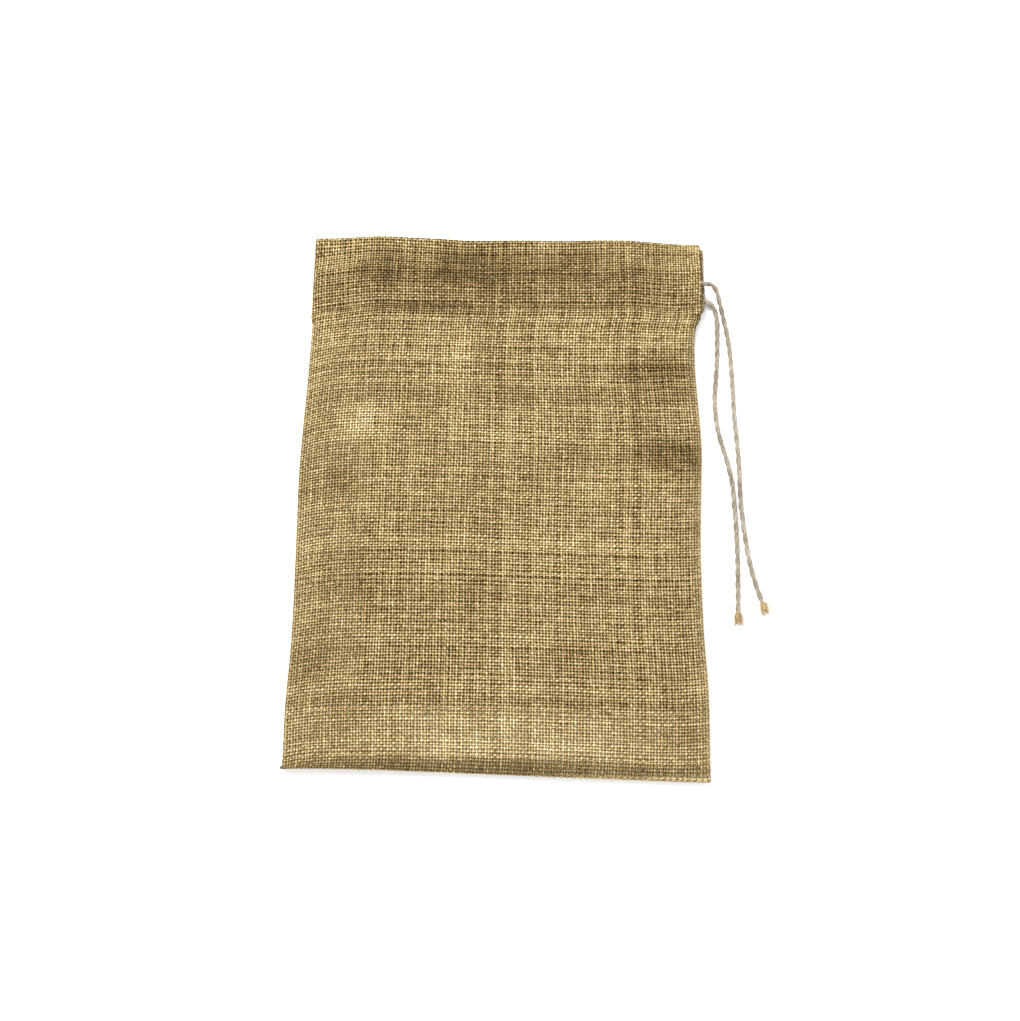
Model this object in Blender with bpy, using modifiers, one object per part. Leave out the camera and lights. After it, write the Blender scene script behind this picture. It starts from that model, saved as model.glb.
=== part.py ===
"""Drawstring gift pouch in open-weave jute, lying flat with its mouth towards +Y.

Two cloth panels, each one sheet with its edges turned inside: a wide allowance on
the left, a narrow one on the right, a bottom allowance, and a hem at the mouth
that makes the casing. One length of twine runs through the front casing, turns
back inside the left end and returns through the back casing. Metres, +Z up.
"""
import math

import bmesh
import bpy
import numpy as np
from mathutils import Matrix, Vector

MM = 0.001

# Driving dimensions
POUCH_HEIGHT = 240 * MM
CLOTH = 0.9 * MM            # thickness of the jute cloth
GAP = 0.3 * MM              # air between touching pieces
TWINE_RADIUS = 1.0 * MM
THREAD_RADIUS = 0.25 * MM   # sewing thread
CASING_DEPTH = 33.5 * MM    # mouth edge down to the casing stitching
HEM_TAIL = 2.5 * MM         # raw edge of the hem below the stitching
LEFT_ALLOWANCE = 33 * MM
RIGHT_ALLOWANCE = 6 * MM
BOTTOM_ALLOWANCE = 29 * MM
MOUTH_LIFT = 4.4 * MM       # how far the mouth stands open at its middle
BODY_ARCH = 5.35 * MM       # rise of the front panel between its seams
FRONT_RUN_Y = 100 * MM      # twine in the front casing
BACK_RUN_Y = 93 * MM        # twine in the back casing
FRONT_CASING_END = 90.0 * MM
BACK_CASING_END = 92.2 * MM
NOMINAL_WIDTH = 182.4 * MM
HALF_WIDTH = 90 * MM        # the arch dies away towards this x
SEAM_INSET = 1.6 * MM       # stitch line in from the edge

# Layer heights, all of the sheet's middle surface
HALF = CLOTH / 2
TOP = POUCH_HEIGHT / 2 - HALF
STITCH_Y = POUCH_HEIGHT / 2 - CASING_DEPTH
FOLD_STEP = CLOTH + GAP                          # panel to its own allowance
THREAD_STEP = CLOTH + 2 * (GAP + THREAD_RADIUS)  # two layers with a thread between
HEM_STEP = THREAD_STEP
RIDGE = 2 * (TWINE_RADIUS + GAP) + CLOTH - HEM_STEP
BACK_Z = HALF
FRONT_EDGE_Z = BACK_Z + 2 * FOLD_STEP + THREAD_STEP
BACK_HEM_Z = BACK_Z + HEM_STEP
FRONT_HEM_Z = BACK_HEM_Z + RIDGE + CLOTH + 2 * GAP
FRONT_CASING_Z = FRONT_HEM_Z + HEM_STEP
BACK_RUN_Z = CLOTH + GAP + TWINE_RADIUS
FRONT_RUN_Z = FRONT_HEM_Z + HALF + GAP + TWINE_RADIUS

# Where one shape eases into the next: start, end
CASING_RISE = (60 * MM, 84 * MM)      # y, body up to casing
ROLL_RISE = (77 * MM, 88 * MM)        # y, flat back up to the rolled end
LIFT_FADE = (52 * MM, 85 * MM)        # |x|, open mouth down to its corners
RIDGE_FADE = (4 * MM, 11 * MM)        # distance in y from the twine
CASING_FLARE = (76 * MM, 90 * MM)     # y, body's right edge out to the casing's
SIDE_FULLNESS = 6                     # higher keeps the arch full nearer the seams
END_FULLNESS = 7

# The casing's left end, rolled round the twine
ROLL_WIDTH = 7 * MM
HEM_LEFT_X = -83.5 * MM
BACK_ROLL_Z = 3.8 * MM
FRONT_ROLL_Z = 6.0 * MM
TURN_X = -84.4 * MM         # where the twine turns back
ALLOWANCE_TOP = CASING_FLARE[0]   # the side allowances stop below the casing

# Stitch lines: where each starts and stops
CASING_STITCH_X = (HEM_LEFT_X + 2 * MM, 87 * MM)
SIDE_SEAM_START_Y = -112 * MM
LEFT_SEAM_END_Y = 117 * MM
RIGHT_SEAM_END_Y = 75 * MM
BOTTOM_SEAM_X = (-84 * MM, 84 * MM)

# Stations of the cloth's grid
NEAR_EDGE = [1.2 * MM, 2.2 * MM, 3.6 * MM, 5.4 * MM, 7.2 * MM]   # in from the left edge
STEADY_EDGE = 8 * MM        # nearer an edge than this, stations keep their distance from it
MIDDLE_X = (13 * MM, 170 * MM)
BODY_FLAT_START_Y = -96 * MM
TOLERANCE = 0.1 * MM

# The side edges, as (y, x) along the pouch
LEFT_EDGE = [(-120, -90.3), (-90, -91.1), (-60, -90.3), (-15, -91.1), (15, -91.75),
             (48, -90.8), (86, -90.2), (105, -91.2), (120, -91.4)]
RIGHT_EDGE = [(-120, 90.0), (-85, 89.9), (-60, 88.4), (-30, 87.7), (-10, 88.0),
              (20, 89.0), (37, 88.2), (60, 86.7), (76, 87.2), (90, 90.0), (120, 90.0)]

# The twine outside the pouch, each point x, y, z
UPPER_TAIL = [(92.5, 100, 7.2), (94.4, 99.8, 7.1), (96.8, 97.6, 6.4), (98.6, 92.8, 4.9),
              (100.2, 87.2, 3.3), (101.8, 81.6, 1.9), (103, 75.5, 1.3), (104, 66, 1.1),
              (104.6, 51.5, 1.1), (105.1, 37.5, 1.1), (106.4, 19, 1.1), (106.8, 0, 1.1),
              (107.6, -10, 1.1), (109.3, -24, 1.1), (111.6, -35, 1.1), (115, -45.8, 1.1)]
LOWER_TAIL = [(92.5, 93, 2.2), (94.4, 92.9, 2.1), (96.8, 90.8, 1.6), (98, 86, 1.2),
              (98.2, 80, 1.1), (97.8, 66, 1.1), (97, 56, 1.1), (96.3, 46.7, 1.1),
              (96.7, 37.4, 1.1), (98.3, 28, 1.1), (101, 18.5, 1.1), (103, 9, 1.1),
              (103.8, -1, 1.1), (104.5, -15, 1.1), (104.7, -30, 1.1), (104.3, -50.5, 1.1)]
TAIL_START_X = 92.5 * MM
TIP_LENGTH = 5.5 * MM
TIP_NECK = 0.9 * MM         # radius where the tuft meets the twine
TIP_WIDTH = 2.1 * MM
TIP_HEIGHT = 1.05 * MM

JUTE = (0.52, 0.41, 0.22)
THREAD = (0.60, 0.50, 0.31)
TWINE = (0.60, 0.53, 0.42)
FRAYED = (0.66, 0.52, 0.30)


def ease(value, low, high):
    """0 at low, 1 at high, with a smooth rise between."""
    t = min(max((value - low) / (high - low), 0.0), 1.0)
    return t * t * (3 - 2 * t)


def mix(a, b, t):
    return a + (b - a) * t


def through(points, spacing):
    """Points at about the given spacing on a smooth curve through the points."""
    p = [Vector(q) * MM for q in points]
    p = [2 * p[0] - p[1]] + p + [2 * p[-1] - p[-2]]
    route = []
    for a, b, c, d in zip(p, p[1:], p[2:], p[3:]):
        steps = max(1, round((c - b).length / spacing))
        for i in range(steps):
            t = i / steps
            route.append(0.5 * ((2 * b) + (c - a) * t + (2 * a - 5 * b + 4 * c - d) * t * t
                                + (3 * b - a - 3 * c + d) * t ** 3))
    return route + [p[-2]]


def edge_x(points, y):
    """The x of a side edge at y."""
    route = through([(x, at, 0) for at, x in points], 4 * MM)
    return float(np.interp(y, [q.y for q in route], [q.x for q in route]))


def lift(x):
    """How far the front casing stands off the back one."""
    return MOUTH_LIFT * (1 - ease(abs(x), *LIFT_FADE))


def ridge(y, run_y):
    """The casing's swelling over the twine."""
    return RIDGE * (1 - ease(abs(y - run_y), *RIDGE_FADE))


def roll(x, y):
    """0 on the flat of the casing, 1 at the rolled left end."""
    edge = edge_x(LEFT_EDGE, y)
    q = min(max((edge + ROLL_WIDTH - x) / ROLL_WIDTH, 0.0), 1.0)
    return 1 - math.sqrt(1 - q * q)


def front_z(x, y):
    """Middle surface of the front panel."""
    side = 1 - min(abs(x) / HALF_WIDTH, 1.0) ** SIDE_FULLNESS
    end = 1 - min(max(-y, 0.0) / TOP, 1.0) ** END_FULLNESS
    body = FRONT_EDGE_Z + BODY_ARCH * side * end
    casing = FRONT_CASING_Z + lift(x) + ridge(y, FRONT_RUN_Y)
    casing = mix(casing, FRONT_ROLL_Z, roll(x, y))
    return mix(body, casing, ease(y, *CASING_RISE))


def back_z(x, y):
    """Middle surface of the back panel."""
    return BACK_Z + (BACK_ROLL_Z - BACK_Z) * roll(x, y) * ease(y, *ROLL_RISE)


def front_inner_z(x, y, is_hem):
    return FRONT_HEM_Z + lift(x) if is_hem else front_z(x, y) - FOLD_STEP


def back_inner_z(x, y, is_hem):
    return BACK_HEM_Z + ridge(y, BACK_RUN_Y) if is_hem else back_z(x, y) + FOLD_STEP


def turned_edge(length, radius, arc_cells, flat_cells):
    """Stations on a turned-in edge, from the fold: (distance in from the edge, turn 0 to 1)."""
    arc = [(radius - radius * math.sin(math.pi * i / arc_cells),
            (1 - math.cos(math.pi * i / arc_cells)) / 2) for i in range(1, arc_cells + 1)]
    flat = [(radius + (length - radius) * i / flat_cells, 1.0) for i in range(1, flat_cells + 1)]
    return arc + flat


def spread(low, high, cells):
    return [mix(low, high, i / cells) for i in range(cells)]


def make_material(name, colour, roughness):
    material = bpy.data.materials.new(name)
    material.use_nodes = True
    shader = material.node_tree.nodes["Principled BSDF"]
    shader.inputs["Base Color"].default_value = (*colour, 1)
    shader.inputs["Roughness"].default_value = roughness
    shader.inputs["Metallic"].default_value = 0
    return material


def add_object(name, data, material, collection):
    part = bpy.data.objects.new(name, data)
    part.data.materials.append(material)
    collection.objects.link(part)
    return part


def make_panel(name, outer_z, inner_z, casing_end, material, collection):
    """A cloth panel: one sheet with its turned-in edges, thickened to the cloth."""
    fold = FOLD_STEP / 2
    # Stations across: (x from the left edge or None, x from the right edge or None, turn)
    left_turn = turned_edge(LEFT_ALLOWANCE, fold, 4, 4)[::-1]
    right_turn = turned_edge(RIGHT_ALLOWANCE, fold, 4, 1)
    hem_left = HEM_LEFT_X + NOMINAL_WIDTH / 2
    flat = [fold] + NEAR_EDGE + [hem_left] + spread(*MIDDLE_X, 14) + [MIDDLE_X[1]]
    across = ([("left", d, t) for d, t in left_turn] + [("flat", d, 0) for d in flat]
              + [("flat_end", fold, 0)] + [("right", d, t) for d, t in right_turn])
    bottom_turn = turned_edge(BOTTOM_ALLOWANCE, fold, 4, 3)[::-1]
    hem_turn = turned_edge(CASING_DEPTH + HEM_TAIL, HEM_STEP / 2, 5, 9)
    mouth = TOP - HEM_STEP / 2
    rows = (spread(-TOP + fold, BODY_FLAT_START_Y, 3) + spread(BODY_FLAT_START_Y, CASING_RISE[0], 9)
            + spread(CASING_RISE[0], CASING_FLARE[0], 3) + spread(*CASING_FLARE, 4)
            + spread(CASING_FLARE[1], mouth, 8) + [mouth])
    along = ([("bottom", -TOP + d, t) for d, t in bottom_turn] + [("flat", y, 0) for y in rows]
             + [("hem", TOP - d, t) for d, t in hem_turn])

    def place(column, row):
        across_kind, d, across_turn = across[column]
        along_kind, y, along_turn = along[row]
        left = edge_x(LEFT_EDGE, y)
        right = edge_x(RIGHT_EDGE, y)
        right = mix(right, casing_end + fold, ease(y, *CASING_FLARE))
        width = right - left
        if across_kind in ("right", "flat_end"):
            x = right - d
        elif d > STEADY_EDGE and across_kind == "flat":
            stretch = (width - 2 * STEADY_EDGE) / (NOMINAL_WIDTH - 2 * STEADY_EDGE)
            x = left + STEADY_EDGE + (d - STEADY_EDGE) * stretch
        else:
            x = left + d
        turn = max(across_turn, along_turn)
        return (x, y, mix(outer_z(x, y), inner_z(x, y, along_kind == "hem"), turn))

    def is_cut_away(column, row):
        """Whether a cell lies in a notch, where no cloth is turned in."""
        kinds = {across[column][0], across[column + 1][0]}
        levels = {along[row][0], along[row + 1][0]}
        side_turn = bool(kinds & {"left", "right"})
        end_turn = bool(levels & {"bottom", "hem"})
        above = along[row][1] > ALLOWANCE_TOP - TOLERANCE
        left_of_hem = across[column][0] == "flat" and across[column][1] < hem_left - TOLERANCE
        beside_hem = "hem" in levels and left_of_hem
        return (side_turn and (end_turn or above)) or beside_hem

    columns, lines = len(across), len(along)
    mesh = bpy.data.meshes.new(name)
    sheet = bmesh.new()
    bmesh.ops.create_grid(sheet, x_segments=columns - 1, y_segments=lines - 1, size=1)
    spot = {v: (round((v.co.x + 1) / 2 * (columns - 1)), round((v.co.y + 1) / 2 * (lines - 1)))
            for v in sheet.verts}
    cut = [f for f in sheet.faces
           if is_cut_away(min(spot[v][0] for v in f.verts), min(spot[v][1] for v in f.verts))]
    for vertex, (column, row) in spot.items():
        vertex.co = place(column, row)
    bmesh.ops.delete(sheet, geom=cut, context="FACES")
    sheet.to_mesh(mesh)
    sheet.free()
    panel = add_object(name, mesh, material, collection)
    thickness = panel.modifiers.new("cloth thickness", "SOLIDIFY")
    thickness.thickness = CLOTH
    thickness.offset = 0
    mesh.shade_smooth()
    return panel


def make_tube(name, route, radius, material, collection):
    """A round cord or thread along a route, with closed ends."""
    curve = bpy.data.curves.new(name, "CURVE")
    curve.dimensions = "3D"
    curve.bevel_depth = radius
    curve.bevel_resolution = 2
    curve.use_fill_caps = True
    spline = curve.splines.new("POLY")
    spline.points.add(len(route) - 1)
    for point, at in zip(spline.points, route):
        point.co = (*at, 1)
        point.radius = 1
    return add_object(name, curve, material, collection)


def in_casing_route():
    """Right end of the front casing, round the left end, to the right end of the back casing."""
    end = TAIL_START_X - GAP
    stations = np.linspace(end, TURN_X, 26)
    front = [Vector((x, FRONT_RUN_Y, FRONT_RUN_Z + lift(x))) for x in stations]
    back = [Vector((x, BACK_RUN_Y, BACK_RUN_Z)) for x in stations[::-1]]
    centre = (front[-1] + back[0]) / 2
    arm = front[-1] - centre
    bend = [centre + arm * math.cos(a) + Vector((-arm.length * math.sin(a), 0, 0))
            for a in np.linspace(0, math.pi, 13)[1:-1]]
    return front + bend + back


def casing_stitch_route(is_front):
    stations = np.linspace(*CASING_STITCH_X, 24)
    if is_front:
        return [Vector((x, STITCH_Y, FRONT_HEM_Z + HEM_STEP / 2 + lift(x))) for x in stations]
    return [Vector((x, STITCH_Y, BACK_HEM_Z - HEM_STEP / 2)) for x in stations]


def bottom_seam_route():
    seam_z = BACK_Z + FOLD_STEP + THREAD_STEP / 2
    return [Vector((x, -TOP + SEAM_INSET, seam_z)) for x in np.linspace(*BOTTOM_SEAM_X, 12)]


def side_seam_route(edge, inset, top):
    """Between the side allowances, and on up between the casing's left ends."""
    seam_z = BACK_Z + FOLD_STEP + THREAD_STEP / 2
    roll_z = (BACK_ROLL_Z + FRONT_ROLL_Z) / 2
    route = []
    for y in np.linspace(SIDE_SEAM_START_Y, top, 34):
        up = ease(y, *ROLL_RISE)
        x = edge_x(edge, y) + inset * (1 - up)
        route.append(Vector((x, y, mix(seam_z, roll_z, up))))
    return route


def make_tip(name, tail, material, collection):
    """The frayed end of a tail: a flared, flattened tuft lying in line with the twine."""
    end = Vector(tail[-1]) * MM
    before = Vector(tail[-2]) * MM
    heading = (end - before).normalized()
    start = end + heading * GAP
    tuft = bmesh.new()
    bmesh.ops.create_cone(tuft, cap_ends=True, segments=12, radius1=TIP_NECK,
                          radius2=TIP_WIDTH, depth=TIP_LENGTH)
    bmesh.ops.translate(tuft, verts=tuft.verts, vec=(0, 0, TIP_LENGTH / 2))
    for vertex in tuft.verts:
        vertex.co.x *= TIP_HEIGHT / TIP_WIDTH
    aim = Matrix.Rotation(math.atan2(heading.y, heading.x), 4, "Z") @ Matrix.Rotation(
        math.pi / 2, 4, "Y")
    bmesh.ops.transform(tuft, matrix=Matrix.Translation(start) @ aim, verts=tuft.verts)
    mesh = bpy.data.meshes.new(name)
    tuft.to_mesh(mesh)
    tuft.free()
    return add_object(name, mesh, material, collection)


def main():
    for old in list(bpy.data.objects):
        bpy.data.objects.remove(old)
    collection = bpy.data.collections.new("drawstring_gift_pouch")
    bpy.context.scene.collection.children.link(collection)
    jute = make_material("jute", JUTE, 0.9)
    thread = make_material("thread", THREAD, 0.8)
    twine = make_material("twine", TWINE, 0.85)
    frayed = make_material("frayed_twine", FRAYED, 0.9)

    make_panel("front_panel", front_z, front_inner_z, FRONT_CASING_END, jute, collection)
    make_panel("back_panel", back_z, back_inner_z, BACK_CASING_END, jute, collection)

    seams = {
        "front_casing_stitching": casing_stitch_route(True),
        "back_casing_stitching": casing_stitch_route(False),
        "left_seam_stitching": side_seam_route(LEFT_EDGE, SEAM_INSET, LEFT_SEAM_END_Y),
        "right_seam_stitching": side_seam_route(RIGHT_EDGE, -SEAM_INSET, RIGHT_SEAM_END_Y),
        "bottom_seam_stitching": bottom_seam_route(),
    }
    for name, route in seams.items():
        make_tube(name, route, THREAD_RADIUS, thread, collection)

    make_tube("drawcord_in_casing", in_casing_route(), TWINE_RADIUS, twine, collection)
    for side, tail in (("upper", UPPER_TAIL), ("lower", LOWER_TAIL)):
        make_tube(f"{side}_tail", through(tail, 5 * MM), TWINE_RADIUS, twine, collection)
        make_tip(f"{side}_tail_tip", tail, frayed, collection)


main()
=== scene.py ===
import math

import bpy
import numpy as np
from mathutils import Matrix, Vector


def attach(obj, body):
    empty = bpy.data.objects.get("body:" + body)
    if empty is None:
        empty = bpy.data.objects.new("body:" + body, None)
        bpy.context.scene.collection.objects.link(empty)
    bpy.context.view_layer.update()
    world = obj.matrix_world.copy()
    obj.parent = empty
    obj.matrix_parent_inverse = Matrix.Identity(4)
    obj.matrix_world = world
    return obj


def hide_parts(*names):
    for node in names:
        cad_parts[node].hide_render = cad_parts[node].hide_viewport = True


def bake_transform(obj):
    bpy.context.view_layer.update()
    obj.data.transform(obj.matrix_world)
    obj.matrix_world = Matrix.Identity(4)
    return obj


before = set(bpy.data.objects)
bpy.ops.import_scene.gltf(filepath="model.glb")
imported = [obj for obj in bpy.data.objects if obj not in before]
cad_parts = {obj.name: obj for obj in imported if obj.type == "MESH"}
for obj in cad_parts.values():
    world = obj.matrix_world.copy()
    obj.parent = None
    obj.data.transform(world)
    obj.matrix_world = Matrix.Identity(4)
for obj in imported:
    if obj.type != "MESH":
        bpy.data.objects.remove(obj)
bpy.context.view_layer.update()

mm = 0.001

# The pouch as it was cut and sewn, in millimetres like part.py's own sizes
pouch = {
    "top": 119.55,            # middle of the cloth at the mouth's fold
    "stitchY": 86.5,          # casing stitching
    "hemEnd": 83.7,           # raw edge of the hem, inside
    "allowanceTop": 77.0,     # the side allowances stop below the casing
    "leftAllowance": 33.0,
    "rightAllowance": 6.0,
    "bottomAllowance": 29.0,
    "frontCasingEnd": 88.9,
    "backCasingEnd": 91.0,
    "leftEdge": [(-120, -91.9), (-116, -90.9), (-110, -90.7), (-90, -91.1), (-60, -90.3),
                 (-15, -91.1), (15, -91.75), (48, -90.8), (84, -90.0), (105, -90.2),
                 (120, -90.3)],
    "rightEdge": [(-120, 90.0), (-85, 89.9), (-60, 88.4), (-30, 87.7), (-10, 88.0),
                  (20, 89.0), (37, 88.2), (60, 86.7), (76, 87.2), (90, 90.0), (120, 90.0)],
    # x, and how far the edge stands up or down from its straight line there
    "mouthLine": [(-92, 1.3), (-60, 0.3), (-20, -1.6), (30, -1.4), (70, -0.5), (92, -0.3)],
    "bottomLine": [(-92, 0.1), (-84, 0.7), (-50, 0.5), (-10, -0.3), (30, -0.9), (90, -1.5)],
    "foldInset": 0.7,         # from a fold to the first yarn of its allowance
}

# Heights of the layers' middle surfaces above the surface the pouch lies on, and widths
layers = {
    "back": 0.45,
    "backHem": 2.45,
    "frontHem": 5.45,
    "frontCasing": 7.45,
    "frontEdge": 4.85,
    "allowanceStep": 0.78,
    "arch": 5.35,
    "mouthLift": 4.4,
    "ridge": 1.5,
    "frontRunY": 100.0,
    "backRunY": 93.0,
    "rollWidth": 7.0,
    "frontRoll": 6.0,
    "backRoll": 3.8,
    "frontSeam": 3.2,         # the outer cloth turns down to this height at a seam
    "backSeam": 2.0,
    "frontTurn": 5.5,         # width of that turn
    "backTurn": 3.0,
    "crease": 1.3,            # depth of the crease along the casing stitching
    "creaseWidth": 2.0,
}

# Stretches over which one form gives way to the next, in millimetres
fades = {
    "casing": (60, 84),       # in y, from the body's arch to the casing
    "casingEdge": (76, 90),   # in y, from the body's right edge to the casing's
    "backRoll": (77, 88),     # in y
    "seamRise": (76, 88),     # in y
    "bottomSwell": (-118, -104),   # in y
    "mouthYarns": (114, 118),      # in y, where the yarns thicken over the fold
    "lift": (52, 85),         # in x to either side
    "sideSwell": (2, 16),     # from the side edges
    "ridge": (4, 11),         # from the twine
}


def smooth(value, low, high):
    t = np.clip((value - low) / (high - low), 0, 1)
    return t * t * (3 - 2 * t)


# Points on a smooth curve through the given ones.
def curveThrough(points, spacing):
    p = [Vector(q) for q in points]
    p = [2 * p[0] - p[1]] + p + [2 * p[-1] - p[-2]]
    route = []
    for a, b, c, d in zip(p, p[1:], p[2:], p[3:]):
        steps = max(1, round((c - b).length / spacing))
        for i in range(steps):
            t = i / steps
            route.append(0.5 * ((2 * b) + (c - a) * t + (2 * a - 5 * b + 4 * c - d) * t * t
                                + (3 * b - a - 3 * c + d) * t ** 3))
    return route + [p[-2]]


# x of a side edge at each y, both in millimetres.
def edgeAt(points, y):
    route = curveThrough([(x, at, 0) for at, x in points], 4)
    return np.interp(y, [q.y for q in route], [q.x for q in route])


def leftAt(y):
    return edgeAt(pouch["leftEdge"], y)


def rightAt(y, casingEnd):
    t = smooth(y, *fades["casingEdge"])
    return edgeAt(pouch["rightEdge"], y) * (1 - t) + casingEnd * t


def mouthLift(x):
    return layers["mouthLift"] * (1 - smooth(np.abs(x), *fades["lift"]))


def lineAt(points, x):
    return np.interp(x, *zip(*points))


def ridgeAt(y, runY):
    return layers["ridge"] * (1 - smooth(np.abs(y - runY), *fades["ridge"]))


# 0 on the flat of the casing, 1 at its rolled left end.
def rollAt(x, y):
    q = np.clip((leftAt(y) + layers["rollWidth"] - x) / layers["rollWidth"], 0, 1)
    return 1 - np.sqrt(1 - q * q)


# Soft swells that a worn-in cloth keeps: x, y, half length, half width, turn in degrees, height
swells = [
    (-30, 62, 60, 7, 3, 0.9),
    (35, 58, 45, 6, -14, -0.8),
    (70, 46, 20, 6, 52, 1.1),
    (74, 22, 22, 6, 35, -1.2),
    (66, 4, 26, 7, 28, 0.9),
    (-78, 20, 18, 7, -20, 0.9),
    (-74, 2, 24, 6, -12, -0.9),
    (-40, 28, 55, 8, -4, 0.7),
    (20, 8, 70, 8, 4, -0.5),
    (10, -30, 60, 10, -6, 0.6),
    (-55, -50, 26, 9, 30, 0.5),
    (60, -48, 22, 8, 62, -0.7),
    (30, -76, 60, 7, 2, 0.5),
    (-48, 104, 14, 8, 60, -0.7),
    (-12, 103, 24, 7, -8, -0.7),
    (40, 104, 22, 6, 10, -0.7),
    (14, 112, 20, 5, 0, 0.4),
    (70, 108, 14, 6, 30, 0.5),
]


def swellAt(x, y):
    total = np.zeros_like(x)
    for cx, cy, length, width, turn, height in swells:
        a = math.radians(turn)
        along = (x - cx) * math.cos(a) + (y - cy) * math.sin(a)
        across = (y - cy) * math.cos(a) - (x - cx) * math.sin(a)
        total += height * np.exp(-(along / length) ** 2 - (across / width) ** 2)
    ripple = 0.22 * np.sin(x / 6.1 + 1.3 * np.sin(y / 17.0)) * smooth(y, *fades["casing"])
    drift = 0.25 * np.sin(x / 23 + y / 31 + 0.7) * np.sin(y / 19 - x / 47)
    return total + ripple + drift


# Middle of the front cloth, before it turns down at the seams.
def frontHeight(x, y):
    side = 1 - np.clip(np.abs(x) / 90, 0, 1) ** 6
    end = 1 - np.clip(-y / pouch["top"], 0, 1) ** 7
    body = layers["frontEdge"] + layers["arch"] * side * end
    casing = layers["frontCasing"] + mouthLift(x) + ridgeAt(y, layers["frontRunY"])
    roll = rollAt(x, y)
    casing = casing * (1 - roll) + layers["frontRoll"] * roll
    t = smooth(y, *fades["casing"])
    away = smooth(90 - np.abs(x), *fades["sideSwell"]) * smooth(y, *fades["bottomSwell"])
    crease = layers["crease"] * np.exp(-((y - pouch["stitchY"]) / layers["creaseWidth"]) ** 2) * (1 - roll)
    return body * (1 - t) + casing * t + swellAt(x, y) * away - crease


def backHeight(x, y):
    rise = (layers["backRoll"] - layers["back"]) * rollAt(x, y) * smooth(y, *fades["backRoll"])
    return layers["back"] + rise


# The cloth's last few millimetres, rounding over to the seam.
def turnDown(height, seam, width, x, y, casingEnd):
    side = np.minimum(x - leftAt(y), rightAt(y, casingEnd) - x)
    side = np.where(y > fades["casing"][1], 99, side)   # the casing has no seam at its ends
    near = np.clip(np.minimum(side, y + pouch["top"]), 0, width)
    q = 1 - np.sqrt(1 - (1 - near / width) ** 2)
    return height + (seam - height) * q


def frontCloth(x, y, part):
    height = frontHeight(x, y)
    outer = turnDown(height, layers["frontSeam"], layers["frontTurn"], x, y, pouch["frontCasingEnd"])
    if part == "hem":
        return layers["frontHem"] + mouthLift(x) + 0.5 * swellAt(x, y)
    if part == "allowance":
        return np.maximum(outer - layers["allowanceStep"], layers["frontSeam"] - 0.1)
    return outer


def backCloth(x, y, part):
    height = backHeight(x, y)
    outer = turnDown(height, layers["backSeam"], layers["backTurn"], x, y, pouch["backCasingEnd"])
    if part == "hem":
        return layers["backHem"] + ridgeAt(y, layers["backRunY"])
    if part == "allowance":
        return np.minimum(outer + layers["allowanceStep"], layers["backSeam"] + 0.2)
    return outer


# Camera: straight above the pouch, leaning a little from its bottom edge
shot = {
    "lens": 28.0,
    "place": (0.0114, -0.0668, 0.3525),
    "turn": (9.73, 1.06, 1.17),
}


def setCamera():
    data = bpy.data.cameras.new("camera")
    data.lens = shot["lens"]
    data.sensor_width = 36
    data.clip_start = 0.01
    camera = bpy.data.objects.new("camera", data)
    camera.location = shot["place"]
    camera.rotation_euler = [math.radians(a) for a in shot["turn"]]
    bpy.context.scene.collection.objects.link(camera)
    bpy.context.scene.camera = camera


studio = {
    "worldColour": (1.0, 0.99, 0.97),
    "worldStrength": 1.08,
    "floorColour": (0.93, 0.93, 0.925),
    # name: place, size, watts, colour
    "lights": {
        "keyLight": ((-0.33, 0.66, 0.86), 0.45, 18.5, (1.0, 0.97, 0.92)),
        "fillLight": ((0.7, -0.3, 0.9), 0.9, 3.0, (0.95, 0.97, 1.0)),
    },
}


def setStudio():
    world = bpy.data.worlds.new("studio")
    world.use_nodes = True
    background = world.node_tree.nodes["Background"]
    background.inputs["Color"].default_value = (*studio["worldColour"], 1)
    background.inputs["Strength"].default_value = studio["worldStrength"]
    bpy.context.scene.world = world
    for name, (place, size, watts, colour) in studio["lights"].items():
        data = bpy.data.lights.new(name, "AREA")
        data.shape = "DISK"
        data.size = size
        data.energy = watts
        data.color = colour
        light = bpy.data.objects.new(name, data)
        light.location = place
        light.rotation_euler = (-Vector(place)).to_track_quat("-Z", "Y").to_euler()
        bpy.context.scene.collection.objects.link(light)
    bpy.context.scene.view_settings.view_transform = "Standard"
    bpy.ops.mesh.primitive_plane_add(size=6, location=(0, 0, -0.0002))
    floor = bpy.context.object
    floor.name = "floor"
    paper = newMaterial("paperFloor", studio["floorColour"], 0.9)
    floor.data.materials.append(paper)


def newMaterial(name, colour, roughness):
    material = bpy.data.materials.new(name)
    material.use_nodes = True
    shader = material.node_tree.nodes["Principled BSDF"]
    shader.inputs["Base Color"].default_value = (*colour, 1)
    shader.inputs["Roughness"].default_value = roughness
    return material


# A node with its settings, and its inputs by socket name, as values or links.
def addNode(tree, kind, settings=None, **inputs):
    node = tree.nodes.new(kind)
    for key, value in (settings or {}).items():
        setattr(node, key, value)
    for key, value in inputs.items():
        name = key.replace("_", " ")
        byNumber = name.startswith("in") and name[2:].isdigit()
        socket = node.inputs[int(name[2:])] if byNumber else node.inputs[name]
        if isinstance(value, bpy.types.NodeSocket):
            tree.links.new(value, socket)
        else:
            socket.default_value = value
    return node


def calc(tree, operation, a, b=0.0):
    return addNode(tree, "ShaderNodeMath", {"operation": operation}, in0=a, in1=b).outputs[0]


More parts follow.
